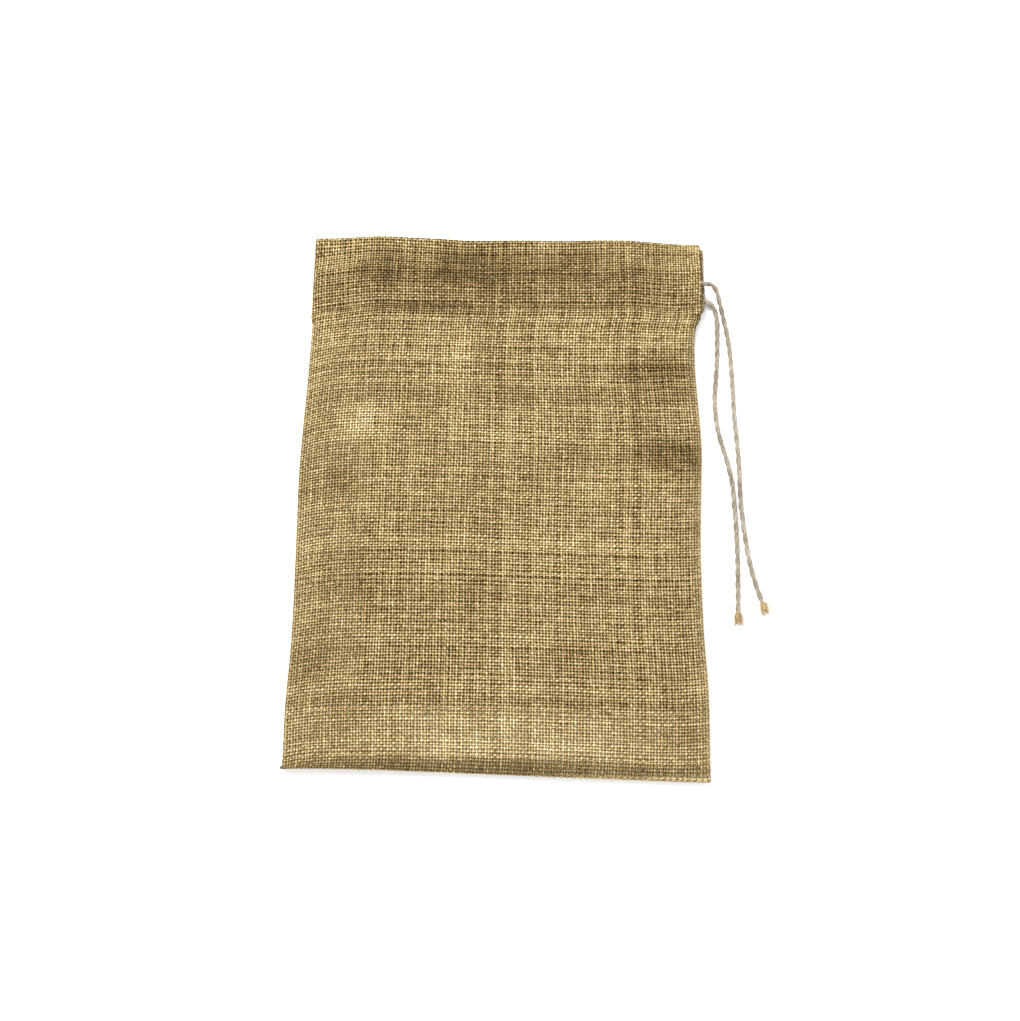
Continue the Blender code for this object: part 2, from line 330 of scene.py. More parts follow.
# The yarns of a woven cloth, spun along the wires of its crossings
weave = {
    "pitch": 1.2785,          # millimetres between yarns
    "yarnWidth": 0.475,       # half widths, millimetres
    "yarnThickness": 0.29,
    "crimp": 0.27,            # how far a yarn rises and dips at each crossing
    "slub": 0.30,
    "wander": 0.085,
    "bulge": 0.13,            # a yarn is wider on top of a crossing than beneath one
    "unevenness": 0.10,       # in the spacing of the yarns
    "flankShade": 0.40,
    "dipShade": 0.20,         # painted shade where a yarn dives under the next, and painted light where it rides over
    "leftSag": 3.6,           # how far the rows bend down at the left edge
    "rightLift": 1.6,         # and up at the right edge
    "acrossCount": 141,
}


# A geometry node tree with its inputs: a geometry, the given ones and a material.
def newTree(name, inputs):
    tree = bpy.data.node_groups.new(name, "GeometryNodeTree")
    for socket, kind in (("Geometry", "Geometry"), *inputs, ("Material", "Material")):
        tree.interface.new_socket(socket, in_out="INPUT", socket_type="NodeSocket" + kind)
    tree.interface.new_socket("Geometry", in_out="OUTPUT", socket_type="NodeSocketGeometry")
    return tree, tree.nodes.new("NodeGroupInput").outputs


# Sends real, smooth-shaded geometry in the given material out of the tree.
def endTree(tree, geometry, material):
    plain = addNode(tree, "GeometryNodeRealizeInstances", None, Geometry=geometry)
    rounded = addNode(tree, "GeometryNodeSetShadeSmooth", None, Geometry=plain.outputs[0])
    finished = addNode(tree, "GeometryNodeSetMaterial", None, Geometry=rounded.outputs[0],
                       Material=material)
    tree.links.new(finished.outputs[0], tree.nodes.new("NodeGroupOutput").inputs[0])
    return tree


def makeYarnTree():
    tree, given = newTree("spinYarns", [
        ("Yarn Width", "Float"), ("Yarn Thickness", "Float"), ("Crimp", "Float"),
        ("Slub", "Float"), ("Seed", "Int")])

    def named(name, kind="FLOAT"):
        return addNode(tree, "GeometryNodeInputNamedAttribute", {"data_type": kind}, Name=name).outputs[0]

    normal = named("clothNormal", "FLOAT_VECTOR")
    rise = calc(tree, "MULTIPLY", named("overUnder"), given["Crimp"])
    shift = addNode(tree, "ShaderNodeVectorMath", {"operation": "SCALE"}, in0=normal, Scale=rise)
    lifted = addNode(tree, "GeometryNodeSetPosition", None, Geometry=given["Geometry"],
                     Offset=shift.outputs[0])
    # thickness and tone wander along each yarn, and differ from yarn to yarn
    lane = calc(tree, "MULTIPLY", named("yarnNumber"), 7.31)
    run = calc(tree, "MULTIPLY", named("alongYarn"), 0.27)
    spot = addNode(tree, "ShaderNodeCombineXYZ", None, X=lane, Y=run,
                   Z=calc(tree, "MULTIPLY", given["Seed"], 3.7))
    drift = addNode(tree, "ShaderNodeTexNoise", None, Vector=spot.outputs[0], Scale=1.0, Detail=3.0)
    swing = calc(tree, "MULTIPLY", calc(tree, "SUBTRACT", drift.outputs[0], 0.5), 2.0)
    perYarn = addNode(tree, "FunctionNodeRandomValue", {"data_type": "FLOAT"}, in2=-1.0, in3=1.0,
                      ID=named("yarnNumber"), Seed=given["Seed"]).outputs[1]
    thick = calc(tree, "ADD", swing, calc(tree, "MULTIPLY", perYarn, 0.35))
    radius = calc(tree, "ADD", calc(tree, "MULTIPLY", thick, given["Slub"]), 1.0)
    radius = calc(tree, "ADD", radius, calc(tree, "MULTIPLY", named("overUnder"), weave["bulge"]))
    radius = calc(tree, "MULTIPLY", radius, named("fullness"))
    curve = addNode(tree, "GeometryNodeMeshToCurve", None, Mesh=lifted.outputs[0])
    facing = addNode(tree, "GeometryNodeSetCurveNormal", {"mode": "FREE"}, Curve=curve.outputs[0],
                     Normal=normal)
    tone = calc(tree, "ADD", calc(tree, "MULTIPLY", perYarn, 0.14), calc(tree, "MULTIPLY", swing, 0.62))
    toned = addNode(tree, "GeometryNodeStoreNamedAttribute",
                    {"data_type": "FLOAT", "domain": "POINT"}, Geometry=facing.outputs[0],
                    Name="yarnTone", Value=calc(tree, "ADD", calc(tree, "MULTIPLY", tone, 0.5), 0.5))
    ring = addNode(tree, "GeometryNodeCurvePrimitiveCircle", {"mode": "RADIUS"}, Resolution=4, Radius=1.0)
    shape = addNode(tree, "ShaderNodeCombineXYZ", None, X=given["Yarn Thickness"],
                    Y=given["Yarn Width"], Z=1.0)
    profile = addNode(tree, "GeometryNodeTransform", None, Geometry=ring.outputs[0],
                      Scale=shape.outputs[0])
    tube = addNode(tree, "GeometryNodeCurveToMesh", None, Curve=toned.outputs[0],
                   Profile_Curve=profile.outputs[0], Scale=calc(tree, "MAXIMUM", radius, 0.45),
                   Fill_Caps=True)
    return endTree(tree, tube.outputs[0], given["Material"])


def setInputs(modifier, tree, values):
    for item in tree.interface.items_tree:
        if item.in_out == "INPUT" and item.name in values:
            modifier[item.identifier] = values[item.name]


# A plain mesh object of what the modifiers make, at the origin.
def bake(source, name):
    bpy.context.view_layer.update()
    evaluated = source.evaluated_get(bpy.context.evaluated_depsgraph_get())
    mesh = bpy.data.meshes.new_from_object(evaluated)
    mesh.name = name
    finished = bpy.data.objects.new(name, mesh)
    bpy.context.scene.collection.objects.link(finished)
    bpy.data.objects.remove(source)
    return finished


# Crossing points of a stretch of cloth as a rows by columns grid, in millimetres.
# A column is ("flat", share of the width) or ("left" or "right", distance in from
# that edge); a row is ("flat", y), ("bottom", distance in) or ("hem", distance
# past the mouth's edge).
def clothGrid(columns, rows, cloth, casingEnd):
    grid = np.zeros((len(rows), len(columns), 3))
    bend = (layers["frontCasing"] - layers["frontHem"]) / 2
    for r, (rowKind, along) in enumerate(rows):
        turn = 0.0
        if rowKind == "flat":
            y = along
        elif rowKind == "bottom":
            y = -pouch["top"] + along
        else:
            part = min(along / (math.pi * bend), 1.0)
            y = pouch["top"] - bend + bend * math.sin(math.pi * part) - max(along - math.pi * bend, 0)
            turn = (1 - math.cos(math.pi * part)) / 2
        left, right = float(leftAt(y)), float(rightAt(y, casingEnd))
        xs = np.array([left + (right - left) * d if kind == "flat" else
                       (left + d if kind == "left" else right - d) for kind, d in columns])
        if rowKind == "hem":
            xs = xs + weave["pitch"] / 2 * min(along / 4, 1.0)   # so that its holes don't line up
        ys = y + lineAt(pouch["mouthLine"], xs) * smooth(y, pouch["stitchY"], pouch["top"] - 4)
        ys = ys + lineAt(pouch["bottomLine"], xs) * (1 - smooth(y, -pouch["top"], -pouch["top"] + 25))
        inside = rowKind == "bottom" or columns[0][0] != "flat"
        z = cloth(xs, ys, "allowance" if inside else "outer")
        if rowKind == "hem":
            z = z * (1 - turn) + cloth(xs, ys, "hem") * turn
        grid[r] = np.stack([xs, ys, z], 1)
    return grid


# Yarns never lie quite straight: each wanders, and the rows sag towards the left edge.
def driftGrid(grid, seed):
    rng = np.random.default_rng(seed)
    rows, columns = grid.shape[:2]

    def wander(lanes, run):
        knots = rng.normal(0, 1, (lanes, run // 6 + 3))
        at = np.linspace(0, knots.shape[1] - 1.001, run)
        low = at.astype(int)
        t = at - low
        t = t * t * (3 - 2 * t)
        return knots[:, low] * (1 - t) + knots[:, low + 1] * t

    x, y = grid[..., 0], grid[..., 1]
    inside = np.clip(np.minimum(x - leftAt(y), rightAt(y, pouch["backCasingEnd"]) - x) / 4, 0, 1)
    ends = np.clip((y + pouch["top"]) / 4, 0, 1) * np.clip((pouch["top"] - 1 - y) / 4, 0, 1)
    grid[..., 0] += wander(columns, rows).T * weave["wander"] * inside
    grid[..., 1] += wander(rows, columns) * weave["wander"] * ends
    grid[..., 0] += rng.normal(0, weave["unevenness"], columns)[None, :] * inside
    grid[..., 1] += rng.normal(0, weave["unevenness"], rows)[:, None] * ends
    fromLeft = np.clip(x - leftAt(y), 0, 200)
    fromRight = np.clip(rightAt(y, pouch["backCasingEnd"]) - x, 0, 200)
    sag = weave["leftSag"] * np.exp(-fromLeft / 14) + 0.7 * np.sin(x / 37 + y / 61)
    sag -= weave["rightLift"] * np.exp(-fromRight / 10)
    grid[..., 1] -= sag * ends
    return grid


def normalsOf(grid):
    across = np.gradient(grid, axis=1)
    along = np.gradient(grid, axis=0)
    normal = np.cross(across, along)
    return normal / np.maximum(np.linalg.norm(normal, axis=2, keepdims=True), 1e-9)


# One piece of cloth: the yarns of each stretch in the asked directions.
# A stretch is (grid, first column's yarn number, first row's yarn number, side up).
def spinYarns(name, stretches, material, seed, directions):
    made = []
    for lengthwise in directions:
        points, normals, edges, overUnder, yarnNumber, alongYarn = [], [], [], [], [], []
        shade, fullness = [], []
        start = 0
        for grid, firstColumn, firstRow, up in stretches:
            rows, columns = grid.shape[:2]
            j, i = np.mgrid[0:rows, 0:columns]
            sign = np.where((i + firstColumn + j + firstRow) % 2, 1.0, -1.0) * (1 if lengthwise else -1)
            number = np.arange(rows * columns).reshape(rows, columns) + start
            if lengthwise:
                pairs = np.stack([number[:-1], number[1:]], -1)
            else:
                pairs = np.stack([number[:, :-1], number[:, 1:]], -1)
            points.append(grid.reshape(-1, 3))
            normals.append((normalsOf(grid) * up).reshape(-1, 3))
            edges.append(pairs.reshape(-1, 2))
            overUnder.append(sign.reshape(-1))
            yarnNumber.append(((i + firstColumn) if lengthwise else (j + firstRow)).reshape(-1))
            alongYarn.append(((j + firstRow) if lengthwise else (i + firstColumn)).reshape(-1))
            shade.append(shadeAt(grid[..., 0], grid[..., 1]).reshape(-1))
            fullness.append(1 + 0.3 * smooth(grid[..., 1], *fades["mouthYarns"]).reshape(-1))
            start += rows * columns
        mesh = bpy.data.meshes.new(name)
        mesh.from_pydata(np.concatenate(points) * mm, np.concatenate(edges).tolist(), [])
        for key, values in (("overUnder", overUnder), ("yarnNumber", yarnNumber),
                            ("alongYarn", alongYarn), ("clothShade", shade),
                            ("fullness", fullness)):
            mesh.attributes.new(key, "FLOAT", "POINT").data.foreach_set(
                "value", np.concatenate(values).astype(np.float32))
        mesh.attributes.new("clothNormal", "FLOAT_VECTOR", "POINT").data.foreach_set(
            "vector", np.concatenate(normals).astype(np.float32).reshape(-1))
        wires = bpy.data.objects.new(name + "Wires", mesh)
        bpy.context.scene.collection.objects.link(wires)
        modifier = wires.modifiers.new("yarns", "NODES")
        modifier.node_group = yarnTree
        setInputs(modifier, yarnTree, {
            "Yarn Width": weave["yarnWidth"] * mm, "Yarn Thickness": weave["yarnThickness"] * mm,
            "Crimp": weave["crimp"] * mm, "Slub": weave["slub"],
            "Seed": seed + (0 if lengthwise else 50), "Material": material[0 if lengthwise else 1]})
        made.append(bake(wires, name))
    return joinPieces(name, made)


def joinPieces(name, made):
    if len(made) > 1:
        with bpy.context.temp_override(active_object=made[0], selected_editable_objects=made):
            bpy.ops.object.join()
    made[0].name = name
    return made[0]


# Where the cloth is a little darker or paler: x, y, half length, half width, change. The patches on the
# body's swells are painted shade and painted light, those along the casing stitching and on the rolled top
# and bottom edges are painted shade, and the casing and the bottom strip are simply darker and paler.
patches = [
    (-56, 103, 14, 9, -0.10),
    (-12, 104, 26, 10, -0.12),
    (40, 104, 26, 8, -0.08),
    (0, 100, 88, 12, -0.09),
    (-30, 84, 26, 5, -0.08),
    (68, 56, 16, 8, -0.12),
    (76, 18, 16, 9, -0.16),
    (-74, 2, 18, 8, -0.07),
    (-60, 30, 12, 10, 0.08),
    (0, -104, 80, 9, 0.12),
    (-48, 85.5, 38, 2.4, -0.10),
    (40, 86, 40, 2.0, -0.05),
    (0, -117, 95, 3.6, -0.09),
    (0, 118, 95, 3, -0.05),
]


def shadeAt(x, y):
    total = np.zeros_like(x)
    for cx, cy, length, width, change in patches:
        total += change * np.exp(-(((x - cx) / length) ** 2 + ((y - cy) / width) ** 2) ** 2)
    return total


def rampOf(tree, factor, stops):
    ramp = addNode(tree, "ShaderNodeValToRGB", None, Fac=factor)
    elements = ramp.color_ramp.elements
    while len(elements) < len(stops):
        elements.new(0.5)
    for element, (at, colour) in zip(elements, stops):
        element.position = at
        element.color = (*colour, 1)
    return ramp.outputs["Color"]


# Fine noise on the object's own coordinates, drawn out along the yarn.
def fibreNoise(tree, stretch, scale, detail=4.0):
    at = addNode(tree, "ShaderNodeTexCoord").outputs["Object"]
    drawn = addNode(tree, "ShaderNodeMapping", None, Vector=at, Scale=stretch)
    return addNode(tree, "ShaderNodeTexNoise", None, Vector=drawn.outputs[0], Scale=scale,
                   Detail=detail, Roughness=0.6).outputs[0]


def named(tree, name):
    return addNode(tree, "ShaderNodeAttribute", {"attribute_name": name}).outputs["Fac"]


juteColours = [
    (0.00, (0.016, 0.007, 0.001)),
    (0.20, (0.052, 0.028, 0.005)),
    (0.42, (0.172, 0.116, 0.037)),
    (0.60, (0.355, 0.268, 0.121)),
    (0.78, (0.560, 0.458, 0.270)),
    (1.00, (0.740, 0.645, 0.450)),
]


# How strongly each pattern changes the tone of the jute
juteTone = {
    "fine": 0.55,
    "broad": 0.25,
    "barkFrom": 0.70,         # of the fleck noise, above which a fibre is bark
    "bark": 5.0,
    "innerPaintedLight": 0.20,        # painted light: the allowances, which lie beneath the outer cloth, are made paler
    "crossLift": 0.02,
}


def juteMaterial(name, stretch, lift):
    material = newMaterial(name, juteColours[3][1], 0.85)
    tree = material.node_tree
    shader = tree.nodes["Principled BSDF"]
    fine = fibreNoise(tree, stretch, 2600.0)
    broad = fibreNoise(tree, (1, 1, 1), 45.0, 3.0)
    fleck = fibreNoise(tree, stretch, 700.0, 2.0)
    # clothShade brings in the patches: painted shade and light, and the darker casing and paler bottom
    # strip
    tone = calc(tree, "ADD", named(tree, "yarnTone"), named(tree, "clothShade"))
    for noise, strength in ((fine, juteTone["fine"]), (broad, juteTone["broad"])):
        about = calc(tree, "SUBTRACT", noise, 0.5)
        tone = calc(tree, "ADD", tone, calc(tree, "MULTIPLY", about, strength))
    # painted shade and light: darker where a yarn dips under a crossing, paler where it rides over one
    tone = calc(tree, "ADD", tone, calc(tree, "MULTIPLY", named(tree, "overUnder"), weave["dipShade"]))
    # painted shade: the flanks of a yarn, which turn away from the cloth's face, are darkened
    up = addNode(tree, "ShaderNodeAttribute", {"attribute_name": "clothNormal"}).outputs["Vector"]
    own = addNode(tree, "ShaderNodeNewGeometry").outputs["Normal"]
    facing = addNode(tree, "ShaderNodeVectorMath", {"operation": "DOT_PRODUCT"}, in0=own, in1=up)
    flank = calc(tree, "SUBTRACT", 1.0, calc(tree, "ABSOLUTE", facing.outputs["Value"]))
    tone = calc(tree, "SUBTRACT", tone, calc(tree, "MULTIPLY", flank, weave["flankShade"]))
    # dark bits of bark left in the fibre
    over = calc(tree, "MAXIMUM", calc(tree, "SUBTRACT", fleck, juteTone["barkFrom"]), 0.0)
    bark = calc(tree, "MULTIPLY", over, juteTone["bark"])
    # lift pales a whole copy of the jute: a little for the crosswise yarns, and with painted light for the
    # allowances beneath the outer cloth
    tone = calc(tree, "SUBTRACT", calc(tree, "ADD", tone, lift), bark)
    tree.links.new(rampOf(tree, tone, juteColours), shader.inputs["Base Color"])
    rough = addNode(tree, "ShaderNodeMapRange", None, Value=fine, To_Min=0.72, To_Max=0.95)
    tree.links.new(rough.outputs[0], shader.inputs["Roughness"])
    bump = addNode(tree, "ShaderNodeBump", None, Strength=0.5, Distance=0.00012, Height=fine)
    tree.links.new(bump.outputs[0], shader.inputs["Normal"])
    shader.inputs["Sheen Weight"].default_value = 0.03
    shader.inputs["Sheen Roughness"].default_value = 0.5
    shader.inputs["Sheen Tint"].default_value = (1.0, 0.93, 0.78, 1)
    shader.inputs["Specular IOR Level"].default_value = 0.25
    return material


# Twine, thread and loose fibre: soft streaks of tone.
def strandMaterial(name, stops, scale, bumpDepth):
    material = newMaterial(name, stops[1][1], 0.8)
    tree = material.node_tree
    shader = tree.nodes["Principled BSDF"]
    fine = fibreNoise(tree, (1, 1, 1), scale)
    broad = fibreNoise(tree, (1, 1, 1), scale / 12, 2.0)
    tone = calc(tree, "ADD", calc(tree, "MULTIPLY", fine, 0.6), calc(tree, "MULTIPLY", broad, 0.5))
    tree.links.new(rampOf(tree, tone, stops), shader.inputs["Base Color"])
    rough = addNode(tree, "ShaderNodeMapRange", None, Value=fine, To_Min=0.65, To_Max=0.95)
    tree.links.new(rough.outputs[0], shader.inputs["Roughness"])
    bump = addNode(tree, "ShaderNodeBump", None, Strength=0.45, Distance=bumpDepth, Height=fine)
    tree.links.new(bump.outputs[0], shader.inputs["Normal"])
    shader.inputs["Sheen Weight"].default_value = 0.2
    shader.inputs["Sheen Roughness"].default_value = 0.45
    shader.inputs["Specular IOR Level"].default_value = 0.3
    return material


twineColours = [(0.25, (0.045, 0.032, 0.019)), (0.50, (0.205, 0.175, 0.133)), (0.78, (0.44, 0.40, 0.335))]
threadColours = [(0.20, (0.10, 0.065, 0.022)), (0.50, (0.24, 0.175, 0.075)), (0.85, (0.38, 0.30, 0.15))]
frayColours = [(0.20, (0.17, 0.105, 0.04)), (0.50, (0.36, 0.26, 0.125)), (0.85, (0.56, 0.46, 0.30))]

setCamera()
setStudio()
print("camera and studio set")

# Twine: two plies laid round each other along a route
twine = {
    "diameter": 2.0,          # millimetres, like the sizes below
    "plyRadius": 0.70,
    "plyOffset": 0.46,
    "lay": 10.2,              # length of one full turn of the plies
    "station": 0.7,           # spacing of the rings along a ply
    "tailStep": 2.0,          # spacing of the points along a tail's route
    "runEnd": 92.6,           # right end of the run inside the casing
    "turnX": -84.4,           # where it turns back, inside the left end
    "overHem": 1.75,          # its height over the front hem's middle
    "backRunZ": 2.2,
}
# The routes of the two tails, in metres as in the design
upperTail = [(0.0925, 0.1, 0.0072), (0.0944, 0.0998, 0.0071), (0.0968, 0.0976, 0.0064),
             (0.0986, 0.0928, 0.0049), (0.1002, 0.0872, 0.0033), (0.1018, 0.0816, 0.0019),
             (0.103, 0.0755, 0.0013), (0.104, 0.066, 0.0011), (0.1046, 0.0515, 0.0011),
             (0.1051, 0.0375, 0.0011), (0.1064, 0.019, 0.0011), (0.1068, 0.0, 0.0011),
             (0.1076, -0.01, 0.0011), (0.1093, -0.024, 0.0011), (0.1116, -0.035, 0.0011),
             (0.115, -0.0458, 0.0011)]
lowerTail = [(0.0925, 0.093, 0.0022), (0.0944, 0.0929, 0.0021), (0.0968, 0.0908, 0.0016),
             (0.098, 0.086, 0.0012), (0.0982, 0.08, 0.0011), (0.0978, 0.066, 0.0011),
             (0.097, 0.056, 0.0011), (0.0963, 0.0467, 0.0011), (0.0967, 0.0374, 0.0011),
             (0.0983, 0.028, 0.0011), (0.101, 0.0185, 0.0011), (0.103, 0.009, 0.0011),
             (0.1038, -0.001, 0.0011), (0.1045, -0.015, 0.0011), (0.1047, -0.03, 0.0011),
             (0.1043, -0.0505, 0.0011)]


def makeTwineTree():
    tree, given = newTree("layTwine", [
        ("Ply Radius", "Float"), ("Ply Offset", "Float"), ("Lay", "Float"), ("Phase", "Float")])
    route = addNode(tree, "GeometryNodeResampleCurve", {"mode": "LENGTH"}, Curve=given["Geometry"],
                    Length=twine["station"] * mm)
    tangent = tree.nodes.new("GeometryNodeInputTangent").outputs[0]
    normal = tree.nodes.new("GeometryNodeInputNormal").outputs[0]
    side = addNode(tree, "ShaderNodeVectorMath", {"operation": "CROSS_PRODUCT"}, in0=tangent, in1=normal)
    length = addNode(tree, "GeometryNodeSplineParameter").outputs["Length"]
    turn = calc(tree, "MULTIPLY", calc(tree, "DIVIDE", length, given["Lay"]), 2 * math.pi)
    turn = calc(tree, "ADD", turn, given["Phase"])
    wobble = addNode(tree, "ShaderNodeTexNoise", None, Scale=420.0, Detail=2.0).outputs[0]
    loose = calc(tree, "ADD", calc(tree, "MULTIPLY", wobble, 0.35), 0.82)
    plies = []
    for start in (0.0, math.pi):
        angle = calc(tree, "ADD", turn, start)
        outwards = addNode(tree, "ShaderNodeVectorMath", {"operation": "SCALE"}, in0=normal,
                           Scale=calc(tree, "COSINE", angle))
        sideways = addNode(tree, "ShaderNodeVectorMath", {"operation": "SCALE"}, in0=side.outputs[0],
                           Scale=calc(tree, "SINE", angle))
        both = addNode(tree, "ShaderNodeVectorMath", {"operation": "ADD"}, in0=outwards.outputs[0],
                       in1=sideways.outputs[0])
        shift = addNode(tree, "ShaderNodeVectorMath", {"operation": "SCALE"}, in0=both.outputs[0],
                        Scale=given["Ply Offset"])
        laid = addNode(tree, "GeometryNodeSetPosition", None, Geometry=route.outputs[0],
                       Offset=shift.outputs[0])
        ring = addNode(tree, "GeometryNodeCurvePrimitiveCircle", {"mode": "RADIUS"}, Resolution=10,
                       Radius=given["Ply Radius"])
        tube = addNode(tree, "GeometryNodeCurveToMesh", None, Curve=laid.outputs[0],
                       Profile_Curve=ring.outputs[0], Scale=loose, Fill_Caps=True)
        plies.append(tube.outputs[0])
    joined = tree.nodes.new("GeometryNodeJoinGeometry")
    for ply in plies:
        tree.links.new(ply, joined.inputs[0])
    return endTree(tree, joined.outputs[0], given["Material"])


def routeCurve(name, route):
    data = bpy.data.curves.new(name, "CURVE")
    data.dimensions = "3D"
    spline = data.splines.new("POLY")
    spline.points.add(len(route) - 1)
    for point, at in zip(spline.points, route):
        point.co = (*at, 1)
    curve = bpy.data.objects.new(name + "Route", data)
    bpy.context.scene.collection.objects.link(curve)
    return curve


def runTree(source, tree, name, values):
    modifier = source.modifiers.new(name, "NODES")
    modifier.node_group = tree
    setInputs(modifier, tree, values)
    return bake(source, name)


def layTwine(name, route, phase):
    return runTree(routeCurve(name, route), twineTree, name, {
        "Ply Radius": twine["plyRadius"] * mm, "Ply Offset": twine["plyOffset"] * mm,
        "Lay": twine["lay"] * mm, "Phase": phase, "Material": twineFinish})


# Through the front casing, round its left end, and back through the back casing.
def inCasingRoute():
    runZ = layers["frontHem"] + twine["overHem"]
    stations = np.linspace(twine["runEnd"], twine["turnX"], 60)
    front = [Vector((x, layers["frontRunY"], runZ + float(mouthLift(x)))) for x in stations]
    back = [Vector((x, layers["backRunY"], twine["backRunZ"])) for x in stations[::-1]]
    centre = (front[-1] + back[0]) / 2
    arm = front[-1] - centre
    bend = [centre + arm * math.cos(a) + Vector((-arm.length * math.sin(a), 0, 0))
            for a in np.linspace(0, math.pi, 17)[1:-1]]
    return [p * mm for p in front + bend + back]


twineTree = makeTwineTree()
twineFinish = strandMaterial("twine", twineColours, 2200.0, 0.00015)
threadFinish = strandMaterial("thread", threadColours, 3000.0, 0.00008)
frayFinish = strandMaterial("frayedTwine", frayColours, 1500.0, 0.00008)

casingTwine = layTwine("casingTwine", inCasingRoute(), 0.0)
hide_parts("drawcord_in_casing")
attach(casingTwine, "drawcord")


# The fibres of a frayed end: lengths in millimetres, angles in radians
fray = {
    "fibres": 46,
    "length": 6.2,
    "thickness": 0.17,
    "split": 0.20,            # how far the two plies turn apart
    "spread": 0.13,           # how far each fibre strays from its ply
}


# The tail's end, its plies untwisted into a flared tuft of fibres.
def frayedEnd(name, tail, seed):
    rng = np.random.default_rng(seed)
    end = Vector(tail[-1])
    heading = (end - Vector(tail[-2])).normalized()
    side = heading.cross(Vector((0, 0, 1))).normalized()
    points, edges, radius = [], [], []
    for n in range(fray["fibres"]):
        ply = 1 if n % 2 else -1
        fan = ply * fray["split"] + rng.normal(0, fray["spread"])
        rise = rng.uniform(-0.25, 0.9)
        length = fray["length"] * mm * rng.uniform(0.72, 1.08)
        root = end - heading * 0.9 * mm + side * ply * 0.35 * mm * rng.uniform(0.2, 1.4)
        root += Vector((0, 0, rng.uniform(-0.6, 0.7) * mm))
        curl = rng.normal(0, 0.35)
        first = len(points)
        for k in range(7):
            t = k / 6
            swing = fan * t + curl * math.sin(t * 3.0) * 0.5
            p = root + heading * length * t * math.cos(0.5 * fan) + side * swing * length * 0.75
            p.z = max(p.z + rise * mm * t * (1 - 0.55 * t), 0.0002)
            points.append(p)
            radius.append(fray["thickness"] * mm * (1.05 - 0.55 * t) * (0.8 + 0.4 * (n % 3) / 2))
            if k:
                edges.append((first + k - 1, first + k))
    return spinStrands(name, points, edges, radius, 5, frayFinish)


def makeFibreTree():
    tree, given = newTree("spinFibres", [("Sides", "Int")])
    width = addNode(tree, "GeometryNodeInputNamedAttribute", {"data_type": "FLOAT"}, Name="strandRadius")
    curve = addNode(tree, "GeometryNodeMeshToCurve", None, Mesh=given["Geometry"])
    ring = addNode(tree, "GeometryNodeCurvePrimitiveCircle", {"mode": "RADIUS"},
                   Resolution=given["Sides"], Radius=1.0)
    tube = addNode(tree, "GeometryNodeCurveToMesh", None, Curve=curve.outputs[0],
                   Profile_Curve=ring.outputs[0], Scale=width.outputs[0], Fill_Caps=True)
    return endTree(tree, tube.outputs[0], given["Material"])


fibreTree = makeFibreTree()


# Round strands along the edges between the points, each point with its own radius.
def spinStrands(name, points, edges, radius, sides, material):
    mesh = bpy.data.meshes.new(name)
    mesh.from_pydata(points, edges, [])
    mesh.attributes.new("strandRadius", "FLOAT", "POINT").data.foreach_set("value", radius)
    wires = bpy.data.objects.new(name + "Wires", mesh)
    bpy.context.scene.collection.objects.link(wires)
    return runTree(wires, fibreTree, name, {"Sides": sides, "Material": material})


for side, tail, phase in (("upper", upperTail, 0.6), ("lower", lowerTail, 2.1)):
    route = curveThrough(tail, twine["tailStep"] * mm)
    body = layTwine(f"{side}Tail", route, phase)
    tuft = frayedEnd(f"{side}TailFray", tail, 11 if side == "upper" else 12)
    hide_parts(f"{side}_tail")
    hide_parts(f"{side}_tail_tip")
    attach(body, "drawcord")
    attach(tuft, "drawcord")
print("twine laid")

# Cloth
yarnTree = makeYarnTree()
alongY, alongX = (1.0, 0.16, 1.0), (0.16, 1.0, 1.0)   # noise drawn out along the yarns


def clothFinish(name, lift):
    return (juteMaterial(name + "Lengthwise", alongY, lift),
            juteMaterial(name + "Crosswise", alongX, lift + juteTone["crossLift"]))


juteFinish = clothFinish("jute", 0.0)
# painted light: this copy of the jute for the allowances is paler though they lie beneath the outer cloth
innerLitFinish = clothFinish("inner", juteTone["innerPaintedLight"])


# The yarns of a turned-in allowance, counted in from its fold.
def turnedIn(edge):
    count = int(pouch[edge + "Allowance"] / weave["pitch"])
    return [(edge, pouch["foldInset"] + weave["pitch"] * k) for k in range(count)]


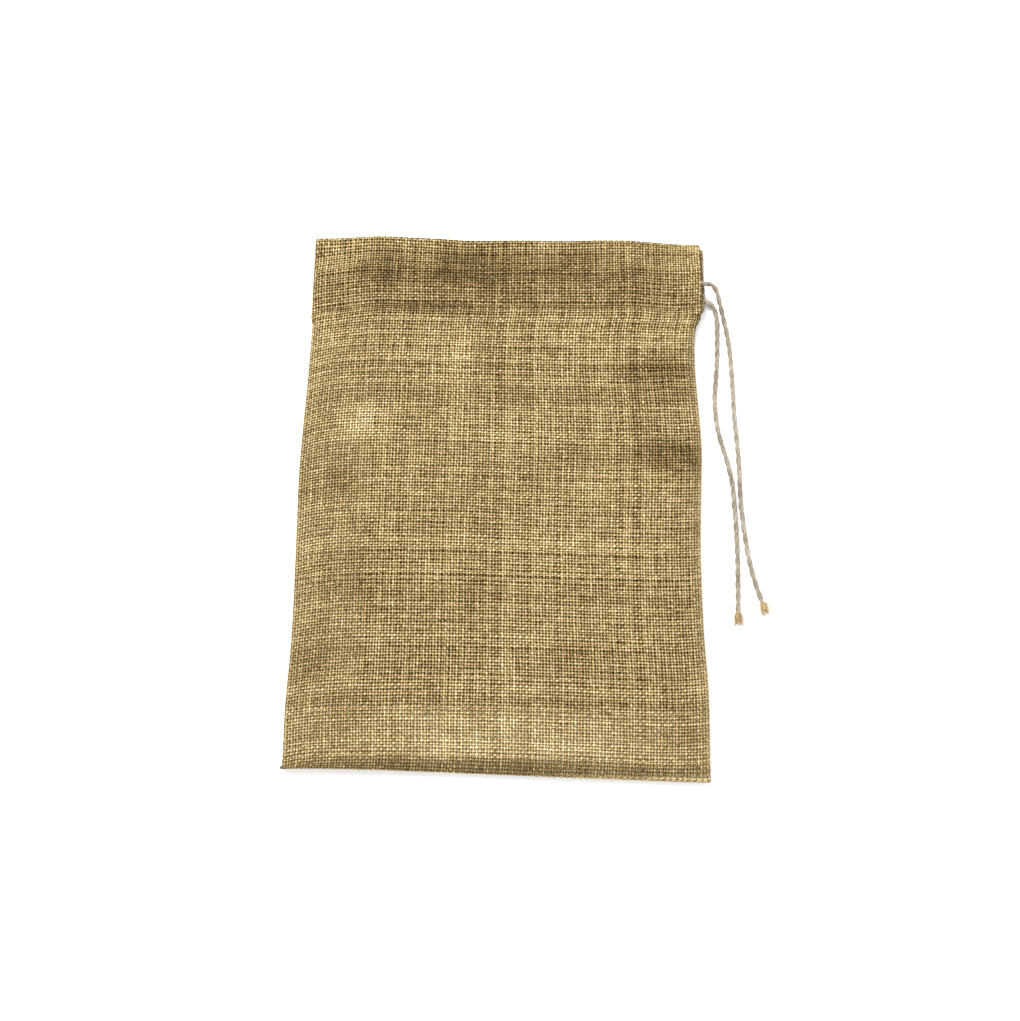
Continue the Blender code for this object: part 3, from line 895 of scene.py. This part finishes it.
def clothPieces(side, cloth, casingEnd, seed, up):
    count = weave["acrossCount"]
    pitch = weave["pitch"]
    width = [("flat", i / (count - 1)) for i in range(count)]
    rowCount = 1 + round((pouch["top"] * 2) / pitch)
    ys = np.linspace(-pouch["top"], pouch["top"] - 1.0, rowCount)
    stitchRow = int(np.argmin(np.abs(ys - pouch["stitchY"])))
    bodyRows = [("flat", float(y)) for y in ys[:stitchRow + 1]]
    casingRows = [("flat", float(y)) for y in ys[stitchRow:]]
    hemCount = int((pouch["top"] - pouch["hemEnd"] + 1.2) / pitch)
    casingRows += [("hem", pitch * k) for k in range(1, hemCount + 1)]
    body = driftGrid(clothGrid(width, bodyRows, cloth, casingEnd), seed)
    casing = driftGrid(clothGrid(width, casingRows, cloth, casingEnd), seed + 1)
    casing[0] = body[-1]
    sideRows = [("flat", float(y) + pitch / 2) for y in ys[1:stitchRow] if y < pouch["allowanceTop"]]
    between = [("flat", (i + 0.5) / (count - 1)) for i in range(count - 1)]
    leftIn = turnedIn("left")
    rightIn = turnedIn("right")
    bottomIn = turnedIn("bottom")
    turned = [(driftGrid(clothGrid(leftIn, sideRows, cloth, casingEnd), seed + 2), 0, 1, up),
              (driftGrid(clothGrid(rightIn, sideRows, cloth, casingEnd), seed + 3), 0, 1, -up),
              (driftGrid(clothGrid(between, bottomIn, cloth, casingEnd), seed + 4), 0, 0, up)]
    lengthwise = spinYarns(f"{side}PanelLengthwise", [(body, 0, 0, up)], juteFinish, seed, (True,))
    crosswise = spinYarns(f"{side}PanelCrosswise", [(body, 0, 0, up)], juteFinish, seed, (False,))
    casingPiece = joinPieces(f"{side}Casing", [
        spinYarns("lengthwise", [(casing, 0, stitchRow, up)], juteFinish, seed, (True,)),
        spinYarns("crosswise", [(casing[1:], 0, stitchRow + 1, up)], juteFinish, seed, (False,))])
    allowances = spinYarns(f"{side}Allowances", turned, innerLitFinish, seed + 5, (True, False))
    made = [lengthwise, crosswise, casingPiece, allowances]
    for piece in made:
        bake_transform(piece)
    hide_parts(f"{side}_panel")


clothPieces("front", frontCloth, pouch["frontCasingEnd"], 20, 1)
clothPieces("back", backCloth, pouch["backCasingEnd"], 40, -1)
print("cloth woven")

# Stitching: a thread that lies along the cloth, then dives through it
stitch = {
    "length": 3.2,
    "radius": 0.19,
    "step": 0.32,             # spacing of the points along the thread
    "inset": 1.6,             # of a seam from its edge
    "upper": 2.85,            # height of a seam's upper face
    "lower": 2.35,
    "casingRise": 2.3,        # how much higher the left seam runs in the casing
}


# One seam's thread. The route gives x, y and the height of each face, in millimetres.
def sew(name, node, route, moves):
    points, radius = [], []
    walked = 0.0
    dense = curveThrough([p[:3] for p in route], stitch["step"])
    other = np.interp(np.linspace(0, 1, len(dense)), np.linspace(0, 1, len(route)), [p[3] for p in route])
    for n, p in enumerate(dense):
        walked += (p - dense[n - 1]).length if n else 0
        phase = walked / stitch["length"] % 1
        dive = float(smooth(phase, 0.70, 0.82) - smooth(phase, 0.88, 1.0))
        points.append(Vector((p.x, p.y, p.z + (other[n] - p.z) * dive)) * mm)
        radius.append(stitch["radius"] * mm * (1 - 0.25 * dive))
    edges = [(i, i + 1) for i in range(len(points) - 1)]
    thread = spinStrands(name, points, edges, radius, 6, threadFinish)
    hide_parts(node)
    if moves:
        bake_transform(thread)
    else:
        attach(thread, "pouch")


def seamHeights(y):
    rise = stitch["casingRise"] * float(smooth(y, *fades["seamRise"]))
    return stitch["upper"] + rise, stitch["lower"] + rise


def overCloth(x, y):
    at = np.array([x]), np.array([y])
    return float(frontCloth(*at, "outer")[0]) + 0.30


stitchXs = np.linspace(-81.5, 86.6, 43)
sew("frontCasingStitching", "front_casing_stitching",
    [(x, pouch["stitchY"], overCloth(x, pouch["stitchY"]), layers["frontHem"] + float(mouthLift(x)) - 0.4)
     for x in stitchXs], True)
sew("backCasingStitching", "back_casing_stitching",
    [(x, pouch["stitchY"], 0.24, layers["backHem"] + 0.4) for x in stitchXs], True)
sew("leftSeamStitching", "left_seam_stitching",
    [(float(leftAt(y)) + stitch["inset"], y, *seamHeights(y)) for y in np.linspace(-112, 116.5, 60)], True)
sew("rightSeamStitching", "right_seam_stitching",
    [(float(rightAt(y, pouch["frontCasingEnd"])) - stitch["inset"], y, stitch["upper"], stitch["lower"])
     for y in np.linspace(-112, 75, 50)], False)
sew("bottomSeamStitching", "bottom_seam_stitching",
    [(x, -pouch["top"] + stitch["inset"], stitch["upper"], stitch["lower"])
     for x in np.linspace(-84, 84, 43)], False)
print("seams sewn")
